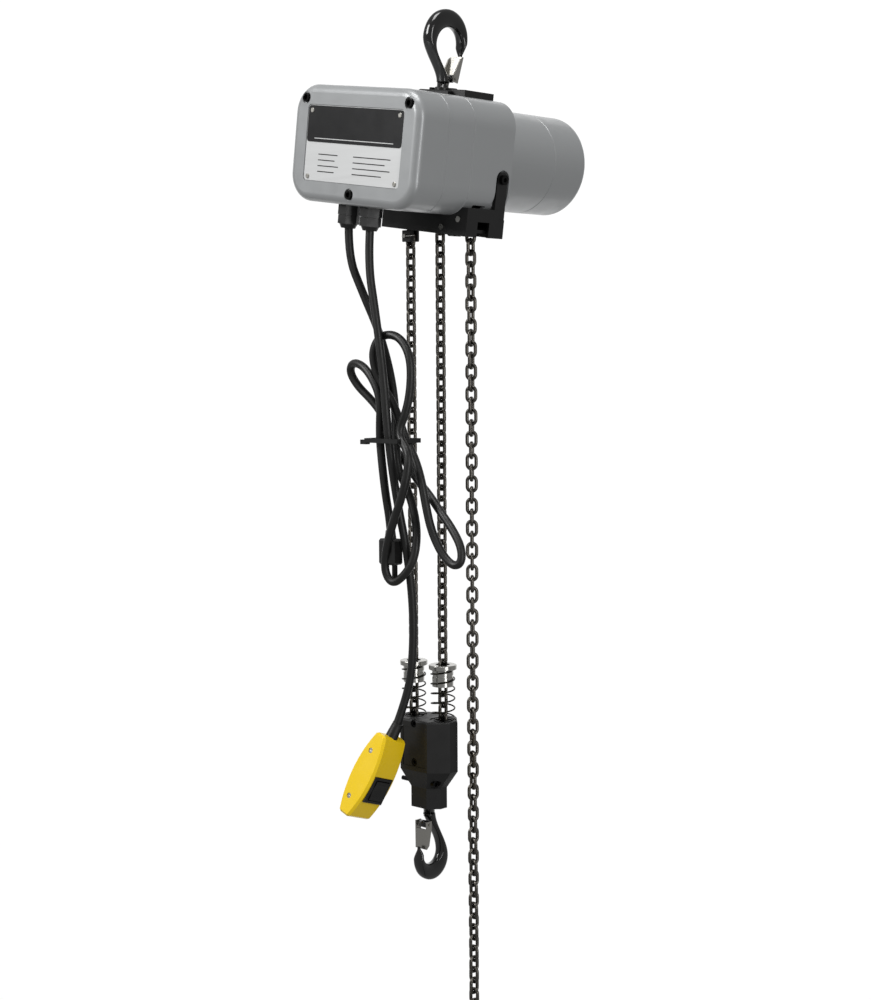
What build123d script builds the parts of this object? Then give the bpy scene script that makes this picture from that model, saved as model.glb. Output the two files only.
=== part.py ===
from build123d import *
import os
from math import acos, atan2, cos, degrees, hypot, pi, radians, sin, tan

# Electric chain hoist, two falls of chain, hung from its top hook. Millimetres.
# Row frame: the origin is the top hook's bearing point (the crown of its bowl), +Z up,
# +X to the hoist's right as seen from its front cover, +Y to the rear, where the motor is.
# The upper assembly is drawn level in the "case frame", whose origin is the middle of the front
# cover's face, and then hung from the hook by one transform, because the hoist hangs out of level.

# ---- driving dimensions -------------------------------------------------------------------
LEAN = 8.1             # degrees the case leans about Y, right side low
HOOK_X, HOOK_Z = 20.7, 133.0   # the bearing point in the case frame
PLANE_Y = 105.0        # the chain plane's distance behind the front cover's face

CHAIN_WIRE = 3.8       # 4 mm chain, drawn 0.2 thin so that links on a sheave stay clear
CHAIN_PITCH = 12.0
LINK_WIDTH = 13.7
POCKETS = 6            # both sheaves
SHEAVE_X = 8.5         # load sheave's axis in the row frame
SHEAVE_Z = -136.6
FALL_LINKS = 54        # pitches between the load sheave's axis and the idler's axis
ANCHOR_LINK = 47       # pitches from the idler's axis to the anchored link
TAIL_LINKS = 80        # pitches of the slack fall
TAIL_TWIST = 1.2       # degrees each link of the slack fall is turned past its neighbour

CASE_W, CASE_H, CASE_R = 192.0, 123.0, 30.0
WALL = 4.0
SEAM_1, SEAM_2, CASE_END = 43.0, 81.5, 145.0
MOTOR_R, MOTOR_Z = 56.0, 1.0
CAP_SEAM, MOTOR_END = 262.0, 318.0

WHEEL_R = CHAIN_PITCH / (2 * tan(pi / (2 * POCKETS)))   # chain line to the sheave's axis
IDLER_X = SHEAVE_X - 2 * WHEEL_R
IDLER_Z = SHEAVE_Z - FALL_LINKS * CHAIN_PITCH
DEAD_X, LIVE_X, SLACK_X = IDLER_X - WHEEL_R, SHEAVE_X - WHEEL_R, SHEAVE_X + WHEEL_R
LINK_REACH = WHEEL_R + LINK_WIDTH / 2                   # outer edge of the chain on a sheave

BLOCK_TOP = -747.3
BLOCK_WIDE, BLOCK_TAPER, BLOCK_NECK = 56.5, 20.0, 23.0  # heights of the block's three parts
BLOCK_BOTTOM = BLOCK_TOP - BLOCK_WIDE - BLOCK_TAPER - BLOCK_NECK

PARTS = {}


def add(name, shape):
    """Keeps one node. A list becomes one node of separate solids."""
    if isinstance(shape, (list, tuple)):
        shape = Compound(children=[s for item in shape for s in item.solids()])
    PARTS[name] = shape


# ---- placing --------------------------------------------------------------------------------
def hung(shape):
    """Moves a shape from the case frame to the row frame."""
    return Rot(0, LEAN, 0) * (Pos(-HOOK_X, -PLANE_Y, -HOOK_Z) * shape)


def row_point(x, y, z):
    """The same for a point, as a tuple."""
    a = radians(LEAN)
    u, w = x - HOOK_X, z - HOOK_Z
    return (u * cos(a) + w * sin(a), y - PLANE_Y, -u * sin(a) + w * cos(a))


def case_point(x, z):
    """A row point's x and z in the case frame."""
    a = radians(LEAN)
    return (x * cos(a) - z * sin(a) + HOOK_X, x * sin(a) + z * cos(a) + HOOK_Z)


# ---- plain shapes ---------------------------------------------------------------------------
def box(x0, x1, y0, y1, z0, z1):
    return Pos((x0 + x1) / 2, (y0 + y1) / 2, (z0 + z1) / 2) * Box(x1 - x0, y1 - y0, z1 - z0)


def rod_x(r, x0, x1, y=0.0, z=0.0):
    return Pos((x0 + x1) / 2, y, z) * Rot(0, 90, 0) * Cylinder(r, x1 - x0)


def rod_y(r, y0, y1, x=0.0, z=0.0):
    return Pos(x, (y0 + y1) / 2, z) * Rot(90, 0, 0) * Cylinder(r, y1 - y0)


def rod_z(r, z0, z1, x=0.0, y=0.0):
    return Pos(x, y, (z0 + z1) / 2) * Cylinder(r, z1 - z0)


def prism_y(sketch, y0, y1):
    """A sketch in X and Z, run from y0 to y1."""
    return extrude(Plane.XZ.offset(-y0) * sketch, -(y1 - y0))


def prism_x(sketch, x0, x1):
    """A sketch in Y and Z, run from x0 to x1."""
    return extrude(Plane.YZ.offset(x0) * sketch, x1 - x0)


def hex_nut_z(across, z0, z1, x=0.0, y=0.0):
    flats = RegularPolygon(across / 2, 6, major_radius=False)
    return extrude(Plane.XY.offset(z0) * Pos(x, y) * flats, z1 - z0)


def cap_screw_y(x, y, z, head_r, head_h, thread_r, length):
    """A socket cap screw driven toward +Y, its head's outer face at y."""
    head = rod_y(head_r, y, y + head_h, x, z)
    head = chamfer(head.edges().sort_by(Axis.Y)[:1], 0.5)
    socket = RegularPolygon(head_r * 0.55, 6, major_radius=False)
    hole = prism_y(Pos(x, z) * socket, y - 1, y + head_h * 0.6)
    return head - hole + rod_y(thread_r, y + head_h - 0.1, y + head_h + length, x, z)


def bearing_y(outer, inner, y0, y1, x, z):
    ring = rod_y(outer, y0, y1, x, z) - rod_y(inner, y0 - 1, y1 + 1, x, z)
    groove = rod_y(outer * 0.80, y0 - 1, y0 + 0.8, x, z) - rod_y(outer * 0.66, y0 - 2, y0 + 2, x, z)
    return ring - groove


# ---- gears ----------------------------------------------------------------------------------
PRESSURE = radians(25)
ADDENDUM, DEDENDUM, BACKLASH = 0.80, 1.05, 0.16


def involute(alpha):
    return tan(alpha) - alpha


def gear_y(teeth, module, y0, y1, x, z, turn, bore):
    """A spur gear on Y. turn is the direction of one tooth's middle, in degrees from +X to +Z."""
    pitch_r = teeth * module / 2
    base_r = pitch_r * cos(PRESSURE)
    root_r, tip_r = pitch_r - DEDENDUM * module, pitch_r + ADDENDUM * module
    half = pi / (2 * teeth) - BACKLASH / (2 * pitch_r) + involute(PRESSURE)
    start_r = max(base_r, root_r)
    flank = []
    for i in range(5):
        r = start_r + (tip_r - start_r) * i / 4
        flank.append((r, half - involute(acos(min(1.0, base_r / r)))))
    points = []
    for tooth in range(teeth):
        mid = radians(turn) + 2 * pi * tooth / teeth
        side = [(root_r, flank[0][1] + 0.15 / root_r)] + flank
        points += [(r * cos(mid - a), r * sin(mid - a)) for r, a in side]
        points += [(r * cos(mid + a), r * sin(mid + a)) for r, a in reversed(side)]
    outline = make_face(Polyline(*points, close=True))
    return prism_y(Pos(x, z) * outline, y0, y1) - rod_y(bore, y0 - 1, y1 + 1, x, z)


# ---- chain ----------------------------------------------------------------------------------
def one_link():
    """A link along Z in the XZ plane, centred on the origin."""
    r = (LINK_WIDTH - 4.0) / 2
    h = (CHAIN_PITCH + 4.0) / 2 - r
    up = Line((-r, 0, -h), (-r, 0, h))
    over = ThreePointArc((-r, 0, h), (0, 0, h + r), (r, 0, h))
    down = Line((r, 0, h), (r, 0, -h))
    under = ThreePointArc((r, 0, -h), (0, 0, -h - r), (-r, 0, -h))
    section = Plane(origin=(-r, 0, -h), z_dir=(0, 0, 1)) * Circle(CHAIN_WIRE / 2)
    return sweep(section, path=Wire([up, over, down, under]))


LINK = one_link()


def straight_chain(x, z, last, twist=0.0, step=-1):
    """Links 1 to last below (or above) the sheave's axis at z. Even ones lie across the plane."""
    links = []
    for i in range(1, last + 1):
        angle = (90 if i % 2 == 0 else 0) + twist * i
        links.append(Pos(x, 0, z + step * i * CHAIN_PITCH) * Rot(0, 0, angle) * LINK)
    return links


def wrapped_chain(x, z, first, last):
    """Links round a sheave, from one twelfth of a turn to another, the even ones lying flat."""
    links = []
    for k in range(first, last + 1):
        flat = Rot(0, 0, 90 if k % 2 == 0 else 0)
        links.append(Pos(x, 0, z) * Rot(0, -k * 180 / POCKETS, 0) * Pos(WHEEL_R, 0, 0) * flat * LINK)
    return links


def sheave(x, z, half_width, bore):
    """A pocket wheel on Y: a groove for the edgewise links and a pocket for each flat one."""
    rim = WHEEL_R + 3.6
    wheel = rod_y(rim, -half_width, half_width, x, z)
    wheel -= rod_y(rim + 1, -3.0, 3.0, x, z) - rod_y(WHEEL_R - 8.2, -4, 4, x, z)
    for k in range(POCKETS):
        pocket = box(WHEEL_R - 2.4, rim + 2, -7.6, 7.6, -10.6, 10.6)
        wheel -= Pos(x, 0, z) * Rot(0, k * 360 / POCKETS, 0) * pocket
    return wheel - rod_y(bore, -half_width - 1, half_width + 1, x, z)


# ---- hooks ----------------------------------------------------------------------------------
def hook_outline(bowl, back, tip, crown, height, neck):
    """A forged hook in its own plane: bowl centre at the origin, shank up, tip toward +x.
    bowl is the bowl's radius. back, tip and crown are the metal's width at three places."""
    outer = bowl + (back + tip) / 2
    cx, cy = outer - bowl - back, outer - bowl - crown
    shoulder = height - bowl - crown
    left, right = cx - outer, cx + outer
    path = [
        Line((-neck, shoulder + 2), (-neck, shoulder)),
        Spline((-neck, shoulder), (left, cy), tangents=[(0, -1), (0, -1)]),
        ThreePointArc((left, cy), (cx, cy - outer), (right, cy)),
        Spline((right, cy), (bowl + 0.42 * tip, bowl * 0.62), tangents=[(0, 1), (-0.25, 1)]),
        Spline((bowl + 0.42 * tip, bowl * 0.62), (bowl, 0), tangents=[(-0.9, 0.1), (0, -1)]),
        ThreePointArc((bowl, 0), (0, -bowl), (-bowl, 0)),
        Spline((-bowl, 0), (neck, shoulder - 6), tangents=[(0, 1), (0.55, 1)]),
        Line((neck, shoulder - 6), (neck, shoulder + 2)),
        Line((neck, shoulder + 2), (-neck, shoulder + 2)),
    ]
    return make_face(Wire(path)), shoulder


def hook_solid(sizes, thick, shank_r, shank_len, lug):
    """The hook's plane is XZ here. lug is the latch pin's place, (x, z)."""
    outline, shoulder = hook_outline(**sizes)
    body = prism_y(outline, -thick / 2, thick / 2)
    rim = [e for e in body.edges() if abs(abs(e.center().Y) - thick / 2) < 0.01]
    rim = [e for e in rim if e.center().Z < shoulder + 1]
    body = chamfer(rim, thick * 0.14)
    body += rod_z(shank_r, shoulder + 1, shoulder + shank_len)
    ear = rod_y(4.2, -thick * 0.3, thick * 0.3, lug[0], lug[1])
    body += ear
    return body - rod_y(1.6, -thick, thick, lug[0], lug[1]), shoulder


def latch_solid(pivot, end, half_gap):
    """A pressed latch: a web along the throat and two cheeks that straddle the pivot."""
    length = hypot(end[0] - pivot[0], end[1] - pivot[1])
    web = box(4.8, length, -half_gap, half_gap, 3.0, 4.6)
    cheeks = []
    for side in (-1, 1):
        y0, y1 = sorted((side * half_gap, side * (half_gap + 1.5)))
        cheek = prism_y(make_face(Polyline((-3.6, -3.6), (3.6, -3.6), (length * 0.86, 0.6),
                                           (length, 4.6), (-3.6, 4.6), close=True)), y0, y1)
        cheeks.append(cheek - rod_y(1.65, y0 - 1, y1 + 1))
    shape = web + cheeks[0] + cheeks[1]
    angle = degrees(atan2(end[1] - pivot[1], end[0] - pivot[0]))
    return Pos(pivot[0], 0, pivot[1]) * Rot(0, -angle, 0) * shape


TOP_HOOK = dict(bowl=19.0, back=14.0, tip=7.5, crown=19.0, height=76.0, neck=6.6)
TOP_THICK, TOP_LUG, TOP_LATCH_END = 15.0, (9.0, 33.0), (13.6, 8.5)
LOW_HOOK = dict(bowl=13.5, back=12.5, tip=7.0, crown=19.0, height=76.0, neck=6.4)
LOW_THICK, LOW_LUG, LOW_LATCH_END = 14.0, (8.6, 33.0), (8.4, 5.5)
LOW_CROWN_Z = -931.8        # the lower hook's lowest point


def top_hook_parts():
    solid, shoulder = hook_solid(TOP_HOOK, TOP_THICK, 6.5, 32.0, TOP_LUG)
    pin = rod_y(1.5, -10.5, 10.5, TOP_LUG[0], TOP_LUG[1])
    latch = latch_solid(TOP_LUG, TOP_LATCH_END, TOP_THICK / 2 + 0.4)
    nut = hex_nut_z(20, shoulder + 18.8, shoulder + 27.8) - rod_z(6.52, 0, 90)
    # turned so that the shank points down, the tip to the rear and the bowl's crown to the origin
    place = Pos(0, 0, -TOP_HOOK["bowl"]) * Rot(0, 0, 90) * Rot(180, 0, 0)
    lean = Rot(0, LEAN, 0)
    add("top_hook", lean * place * solid)
    add("top_hook_nut", lean * place * nut)
    add("top_latch_pin", lean * place * pin)
    add("top_latch", lean * place * latch)


def low_hook_place():
    centre = LOW_CROWN_Z + LOW_HOOK["bowl"] + LOW_HOOK["crown"]
    return Pos(IDLER_X, 0, centre) * Rot(0, 0, -90)


def low_hook_parts():
    solid, shoulder = hook_solid(LOW_HOOK, LOW_THICK, 6.4, 34.0, LOW_LUG)
    pin = rod_y(1.5, -10, 10, LOW_LUG[0], LOW_LUG[1])
    latch = latch_solid(LOW_LUG, LOW_LATCH_END, LOW_THICK / 2 + 0.4)
    nut = hex_nut_z(19, shoulder + 22, shoulder + 30) - rod_z(6.42, 0, 90)
    place = low_hook_place()
    add("bottom_hook", place * solid)
    add("bottom_hook_nut", place * nut)
    add("bottom_latch_pin", place * pin)
    add("bottom_latch", place * latch)
    return shoulder


# ---- case -----------------------------------------------------------------------------------
COVER_SCREWS = [(-77.5, 46.8), (78.5, 46.5), (0.6, -50.8)]
GLANDS = [(-22.4, 25.0), (11.2, 25.0)]
EAR_Y, EAR_Z = 132.0, -20.0
PLATE_W, PLATE_H = 145.0, 79.0


def case_slice(y0, y1, inset=0.0):
    return prism_y(RectangleRounded(CASE_W - 2 * inset, CASE_H - 2 * inset, CASE_R - inset), y0, y1)


def ring_slice(y0, y1):
    """One casing ring, its outer edges broken so that the seams show."""
    body = case_slice(y0, y1)
    ends = [f for f in body.faces() if abs(f.center().Y - y0) < 0.01 or abs(f.center().Y - y1) < 0.01]
    body = chamfer([e for f in ends for e in f.edges()], 0.6)
    return body - case_slice(y0 - 1, y1 + 1, WALL)


def case_x(x, z):
    """Where a plumb line at row x crosses height z of the case."""
    a = radians(LEAN)
    return (x - (z - HOOK_Z) * sin(a)) / cos(a) + HOOK_X


SHEAVE_CX, SHEAVE_CZ = case_point(SHEAVE_X, SHEAVE_Z)
TEETH = (12, 48, 12, 42)          # motor pinion, layshaft gear, layshaft pinion, output gear
MODULE_1, MODULE_2 = 1.0, 1.5


def layshaft_point():
    """The layshaft's axis, one centre distance from the motor's axis and one from the sheave's."""
    first = MODULE_1 * (TEETH[0] + TEETH[1]) / 2
    second = MODULE_2 * (TEETH[2] + TEETH[3]) / 2
    dx, dz = SHEAVE_CX, SHEAVE_CZ - MOTOR_Z
    gap = hypot(dx, dz)
    along = (first ** 2 - second ** 2 + gap ** 2) / (2 * gap)
    off = (first ** 2 - along ** 2) ** 0.5
    return (along * dx - off * dz) / gap, MOTOR_Z + (along * dz + off * dx) / gap


LAY_X, LAY_Z = layshaft_point()


def front_cover():
    body = case_slice(0, SEAM_1)
    face = body.faces().sort_by(Axis.Y)[0]
    body = fillet(face.edges(), 9.0)
    back = body.faces().sort_by(Axis.Y)[-1]
    body = chamfer(back.edges(), 0.6)
    inside = case_slice(5, SEAM_1 + 1, WALL)
    inside -= rod_y(11, 4, 9.5, LAY_X, LAY_Z)
    for x, z in COVER_SCREWS:
        inside -= rod_y(7, 4, SEAM_1 + 1, x, z)
    body -= inside
    body -= rod_y(8.0, 5.2, 10, LAY_X, LAY_Z)
    body -= prism_y(RectangleRounded(PLATE_W + 1.2, PLATE_H + 1.2, 4.6), -1, 1.8)
    for x, z in COVER_SCREWS:
        body -= rod_y(6.6, -1, 1.6, x, z) + rod_y(5.2, 1, 3.42, x, z)
        body -= rod_y(3.3, 0, SEAM_1 + 2, x, z)
    for x, y in GLANDS:
        body -= rod_z(8.1, -CASE_H / 2 - 1, -CASE_H / 2 + WALL + 1, x, y)
    add("front_cover", hung(body))
    screws = [cap_screw_y(x, -1.2, z, 5.0, 4.6, 3.0, 52) for x, z in COVER_SCREWS]
    return [hung(s) for s in screws]


def nameplate():
    plate = prism_y(RectangleRounded(PLATE_W, PLATE_H, 4.0), 0.8, 1.75)
    add("nameplate", hung(plate))
    rivets = []
    for x in (-66.5, 66.5):
        for z in (-35.3, 33.8):
            head = rod_y(2.6, -0.2, 0.75, x, z)
            rivets.append(hung(chamfer(head.edges().sort_by(Axis.Y)[:1], 0.45)))
    add("nameplate_rivets", rivets)


def middle_housing():
    body = ring_slice(SEAM_1, SEAM_2)
    body += case_slice(SEAM_1 + 0.8, SEAM_1 + 8, WALL - 1)
    for x, z in COVER_SCREWS:
        body += rod_y(7, SEAM_1 + 0.8, SEAM_1 + 16, x, z) & case_slice(SEAM_1, SEAM_2, 1)
        body -= rod_y(3.02, SEAM_1 - 1, SEAM_1 + 15, x, z)
    for x, z, r in ((0, MOTOR_Z, 9.0), (LAY_X, LAY_Z, 11.0), (SHEAVE_CX, SHEAVE_CZ, 17.0)):
        body -= rod_y(r, SEAM_1 - 1, SEAM_1 + 9, x, z)
    add("gear_housing", hung(body))


def rear_housing():
    body = ring_slice(SEAM_2, CASE_END)
    body += case_slice(CASE_END - 10, CASE_END - 0.8, WALL - 1)
    body += box(84, 93, EAR_Y - 18, CASE_END - 1, -45, -2)
    body -= rod_y(17.0, CASE_END - 12, CASE_END + 1, 0, MOTOR_Z)
    body -= rod_y(17.0, CASE_END - 12, CASE_END - 2, SHEAVE_CX, SHEAVE_CZ)
    left, right = case_x(LIVE_X, -60) - 11, case_x(SLACK_X, -60) + 11
    body -= box(left, right, PLANE_Y - 9.5, PLANE_Y + 9.5, -70, -44)
    slot = box(91, 97, EAR_Y - 10, EAR_Y + 10, -70, EAR_Z) + rod_x(10, 91, 97, EAR_Y, EAR_Z)
    body -= slot
    body -= rod_x(3.02, 83, 92, EAR_Y, EAR_Z)
    body -= rod_z(7.2, CASE_H / 2 - WALL - 1, CASE_H / 2 + 1, HOOK_X, PLANE_Y)
    for x in (HOOK_X - 14, HOOK_X + 16):
        body -= rod_z(2.6, CASE_H / 2 - WALL - 1, CASE_H / 2 + 1, x, PLANE_Y)
    add("rear_housing", hung(body))


def suspension():
    """The plate on top, with the collar that the hook's shank turns in. Returns its two screws."""
    top = CASE_H / 2
    plate = box(HOOK_X - 21, HOOK_X + 23, PLANE_Y - 15, PLANE_Y + 15, top + 0.05, top + 6)
    plate = chamfer(plate.edges().group_by(Axis.Z)[-1], 1.2)
    plate += box(HOOK_X + 21, HOOK_X + 41, PLANE_Y - 8, CASE_END - 3, top + 0.05, top + 7.5)
    for x in (HOOK_X - 14, HOOK_X + 16):
        plate -= rod_z(2.6, top - 1, top + 9, x, PLANE_Y)
    collar = chamfer(rod_z(8.4, top + 5, top + 9.6, HOOK_X, PLANE_Y).edges().sort_by(Axis.Z)[-1:], 0.8)
    plate += collar
    plate -= rod_z(6.6, top - 1, top + 20, HOOK_X, PLANE_Y)
    add("suspension_plate", hung(plate))
    bolts = []
    for x in (HOOK_X - 14, HOOK_X + 16):
        bolt_head = rod_z(4.2, top + 6.05, top + 9, x, PLANE_Y)
        bolt_head = chamfer(bolt_head.edges().sort_by(Axis.Z)[-1:], 0.5)
        bolts.append(hung(bolt_head + rod_z(2.5, top - 3.9, top + 6.1, x, PLANE_Y)))
    return bolts


def motor_shells():
    shell = rod_y(MOTOR_R, CASE_END, CAP_SEAM, 0, MOTOR_Z)
    shell = chamfer(shell.edges().sort_by(Axis.Y)[-1:], 0.6)
    shell -= rod_y(MOTOR_R - 4, CASE_END - 1, CAP_SEAM + 1, 0, MOTOR_Z)
    add("motor_shell", hung(shell))
    cap = rod_y(MOTOR_R, CAP_SEAM, MOTOR_END, 0, MOTOR_Z)
    cap = fillet(cap.edges().sort_by(Axis.Y)[-1:], 7.0)
    cap = chamfer(cap.edges().sort_by(Axis.Y)[:1], 0.6)
    cap -= rod_y(MOTOR_R - 4, CAP_SEAM - 1, MOTOR_END - 5, 0, MOTOR_Z)
    add("motor_end_cap", hung(cap))


# ---- motor and gear train -------------------------------------------------------------------
CORE = (170.0, 235.0)


def motor_inside():
    cz = MOTOR_Z
    stator = rod_y(MOTOR_R - 4.05, *CORE, 0, cz) - rod_y(31.0, CORE[0] - 1, CORE[1] + 1, 0, cz)
    for k in range(24):
        slot = box(32.5, 43, CORE[0] - 1, CORE[1] + 1, -1.6, 1.6)
        stator -= Pos(0, 0, cz) * Rot(0, k * 15, 0) * slot
    coils = [hung(stator)]
    for y0, y1 in ((CORE[0] - 12, CORE[0] - 0.1), (CORE[1] + 0.1, CORE[1] + 12)):
        coil = rod_y(46, y0, y1, 0, cz) - rod_y(33, y0 - 1, y1 + 1, 0, cz)
        coils.append(hung(coil))
    add("stator", coils)
    add("rotor", hung(rod_y(30.4, *CORE, 0, cz) - rod_y(7.02, CORE[0] - 1, CORE[1] + 1, 0, cz)))


def gear_train():
    """Motor pinion to layshaft to output gear. Each mesh is set with a tooth facing a gap."""
    to_lay = degrees(atan2(LAY_Z - MOTOR_Z, LAY_X))
    to_sheave = degrees(atan2(SHEAVE_CZ - LAY_Z, SHEAVE_CX - LAY_X))
    shaft = rod_y(7.0, SEAM_1 + 12, CASE_END + 110, 0, MOTOR_Z) + rod_y(4.0, 8, SEAM_1 + 12.1, 0, MOTOR_Z)
    shaft += gear_y(TEETH[0], MODULE_1, 10, 20, 0, MOTOR_Z, to_lay, 3.9)
    add("motor_shaft", hung(shaft))
    first = gear_y(TEETH[1], MODULE_1, 11, 19, LAY_X, LAY_Z, to_lay + 180 + 180 / TEETH[1], 5.02)
    add("layshaft_gear", hung(first))
    second = gear_y(TEETH[2], MODULE_2, 22, 36, LAY_X, LAY_Z, to_sheave, 4.9)
    add("layshaft", hung(second + rod_y(5.0, 5.5, SEAM_1 + 8, LAY_X, LAY_Z)))
    turn = to_sheave + 180 + 180 / TEETH[3]
    output = gear_y(TEETH[3], MODULE_2, 23, 35, SHEAVE_CX, SHEAVE_CZ, turn, 9.02)
    for k in range(5):
        hole = rod_y(5, 20, 40, 20, 0)
        output -= Pos(SHEAVE_CX, 0, SHEAVE_CZ) * Rot(0, k * 72 + 20, 0) * hole
    add("output_gear", hung(output))
    add("sheave_shaft", hung(rod_y(9.0, 21, CASE_END - 4, SHEAVE_CX, SHEAVE_CZ)))


def bearings():
    y = SEAM_1 + 0.9
    rings = [
        bearing_y(8.98, 4.06, y, y + 7, 0, MOTOR_Z),
        bearing_y(10.98, 5.06, y, y + 7, LAY_X, LAY_Z),
        bearing_y(16.98, 9.06, y, y + 7, SHEAVE_CX, SHEAVE_CZ),
        bearing_y(16.98, 9.06, CASE_END - 10, CASE_END - 3, SHEAVE_CX, SHEAVE_CZ),
        bearing_y(16.98, 7.06, CASE_END - 10, CASE_END - 1, 0, MOTOR_Z),
        rod_y(7.98, 5.3, 9.5, LAY_X, LAY_Z) - rod_y(5.06, 5, 10, LAY_X, LAY_Z),
    ]
    add("shaft_bearings", [hung(r) for r in rings])


# ---- chain and its guide --------------------------------------------------------------------
TAIL_END = SHEAVE_Z - TAIL_LINKS * CHAIN_PITCH      # middle of the slack fall's last link


def chains():
    add("load_sheave", sheave(SHEAVE_X, SHEAVE_Z, 11, 9.02))
    add("chain_on_load_sheave", wrapped_chain(SHEAVE_X, SHEAVE_Z, 0, 6))
    add("idler_sheave", sheave(IDLER_X, IDLER_Z, 7.0, 6.06))
    add("chain_on_idler_sheave", wrapped_chain(IDLER_X, IDLER_Z, 6, 12))
    add("chain_dead_fall", straight_chain(DEAD_X, IDLER_Z, ANCHOR_LINK, step=1))
    add("chain_live_fall", straight_chain(LIVE_X, SHEAVE_Z, FALL_LINKS - 1))
    add("chain_slack_fall", straight_chain(SLACK_X, SHEAVE_Z, TAIL_LINKS, TAIL_TWIST))
    stop = fillet(rod_z(11, TAIL_END - 24, TAIL_END - 2.5, SLACK_X).edges(), 2.5)
    stop -= rod_z(7.6, TAIL_END - 12.5, TAIL_END, SLACK_X)
    add("chain_end_stop", stop)


def chain_guide():
    """A half tube over the load sheave."""
    inner, thick = LINK_REACH + 1.2, 3.5
    guide = rod_y(inner + thick, -9.5, 9.5, SHEAVE_X, SHEAVE_Z)
    guide -= rod_y(inner, -10, 10, SHEAVE_X, SHEAVE_Z)
    guide &= box(SHEAVE_X - 50, SHEAVE_X + 50, -10, 10, SHEAVE_Z, SHEAVE_Z + 50)
    add("chain_guide", guide)


# ---- bracket under the case -----------------------------------------------------------------
BRACKET = (-30.0, 96.5, 82.0, 130.0, -82.0)      # x0, x1, y0, y1 and the bottom, case frame
PIVOT = (60.8, -74.6)
STOP_PIN = (84.3, -64.8)


def bracket():
    x0, x1, y0, y1, z0 = BRACKET
    body = box(x0, x1, y0, y1, z0, -52) - case_slice(y0 - 1, y1 + 1, -0.15)
    inner = box(x0 + 3, x1 - 3, y0 + 2.5, y1 - 2.5, z0 - 1, 0)
    body -= inner
    body += box(x0 + 2.9, x0 + 45, y0 + 2.4, y1 - 2.4, z0, z0 + 4)
    body -= box(x1 - 4, x1 + 1, 99, 117, z0 - 1, -66)
    ear = box(91.3, 95.8, EAR_Y - 8, EAR_Y + 8, -64, EAR_Z) + rod_x(8, 91.3, 95.8, EAR_Y, EAR_Z)
    body += ear + box(91.3, x1, y1 - 6, EAR_Y + 8, z0, -62)
    body -= rod_x(3.05, 90, 97, EAR_Y, EAR_Z)
    for x, z in (PIVOT, STOP_PIN):
        body -= rod_y(2.02, y0 - 1, y1 + 1, x, z)
    anchor_x = case_x(DEAD_X, z0)
    body -= rod_z(5.2, z0 - 1, z0 + 6, anchor_x, PLANE_Y)
    add("bottom_bracket", hung(body))
    pins = []
    for (x, z), end in ((PIVOT, y1 + 0.8), (STOP_PIN, y0 + 8)):
        pins.append(hung(rod_y(2.0, y0 - 0.1, end, x, z) + rod_y(3.1, y0 - 1.4, y0 - 0.05, x, z)))
    add("limit_pins", pins)
    screw = rod_x(3.0, 84, 95.9, EAR_Y, EAR_Z) + rod_x(5.2, 95.85, 99.5, EAR_Y, EAR_Z)
    screw -= extrude(Plane.YZ.offset(97) * Pos(EAR_Y, EAR_Z) * RegularPolygon(2.6, 6), 4)
    return hung(screw)


def limit_lever():
    """A rocker on the pivot pin; both running falls pass through it."""
    y0, y1 = BRACKET[2] + 3.2, BRACKET[3] - 3.2
    px, pz = PIVOT
    hub = rod_y(4.6, y0, y1, px, pz)
    live, slack = case_x(LIVE_X, pz), case_x(SLACK_X, pz)
    arm = box(live - 13, slack + 10.5, 88, 122, pz - 3.2, pz + 0.4)
    for x in (live, slack):
        arm -= rod_z(9.0, pz - 6, pz + 3, x, PLANE_Y)
    bumps = rod_y(3.0, y0 + 1, y0 + 9, px + 8, pz - 6) + rod_y(3.0, y0 + 1, y0 + 9, px + 16, pz - 5.6)
    bumps += box(px + 5.6, px + 18.4, y0 + 1, y0 + 9, pz - 6, pz - 3)
    lever = hub + arm + bumps - rod_y(2.06, y0 - 1, y1 + 1, px, pz)
    add("limit_lever", hung(lever))


def chain_anchor():
    """The clevis that holds the dead fall, plumb, with its stem through the bracket's floor."""
    top = row_point(case_x(DEAD_X, BRACKET[4]), PLANE_Y, BRACKET[4])[2]
    pin_z = IDLER_Z + ANCHOR_LINK * CHAIN_PITCH + 4.0
    body = chamfer(box(DEAD_X - 7, DEAD_X + 7, -7, 7, pin_z - 6, top - 1.2).edges(), 0.8)
    body += rod_z(4.2, top - 2, top + 9, DEAD_X)
    body -= box(DEAD_X - 8, DEAD_X + 8, -2.5, 2.5, pin_z - 7, pin_z + 6.5)
    body -= rod_y(2.02, -8, 8, DEAD_X, pin_z)
    add("chain_anchor", body)
    pin = rod_y(2.0, -10.5, 8.0, DEAD_X, pin_z) - rod_x(0.72, DEAD_X - 5, DEAD_X + 5, -9.2, pin_z)
    add("anchor_pins", [pin, rod_x(0.7, DEAD_X - 4, DEAD_X + 15, -9.2, pin_z)])


def gland(x, y):
    top = -CASE_H / 2
    body = hex_nut_z(21.5, top - 10.5, top - 0.05, x, y) + rod_z(8.0, top - 1, top + 3.9, x, y)
    nut = hex_nut_z(20.5, top - 20, top - 10.7, x, y)
    nut += Pos(x, y, top - 22.2) * Cone(7.6, 9.8, 4.6)
    hole = rod_z(4.7, top - 30, top + 10, x, y)
    return hung(body - hole), hung(nut - hole)


def glands():
    made = [gland(x, y) for x, y in GLANDS]
    add("cord_glands", [part for pair in made for part in pair])


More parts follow.
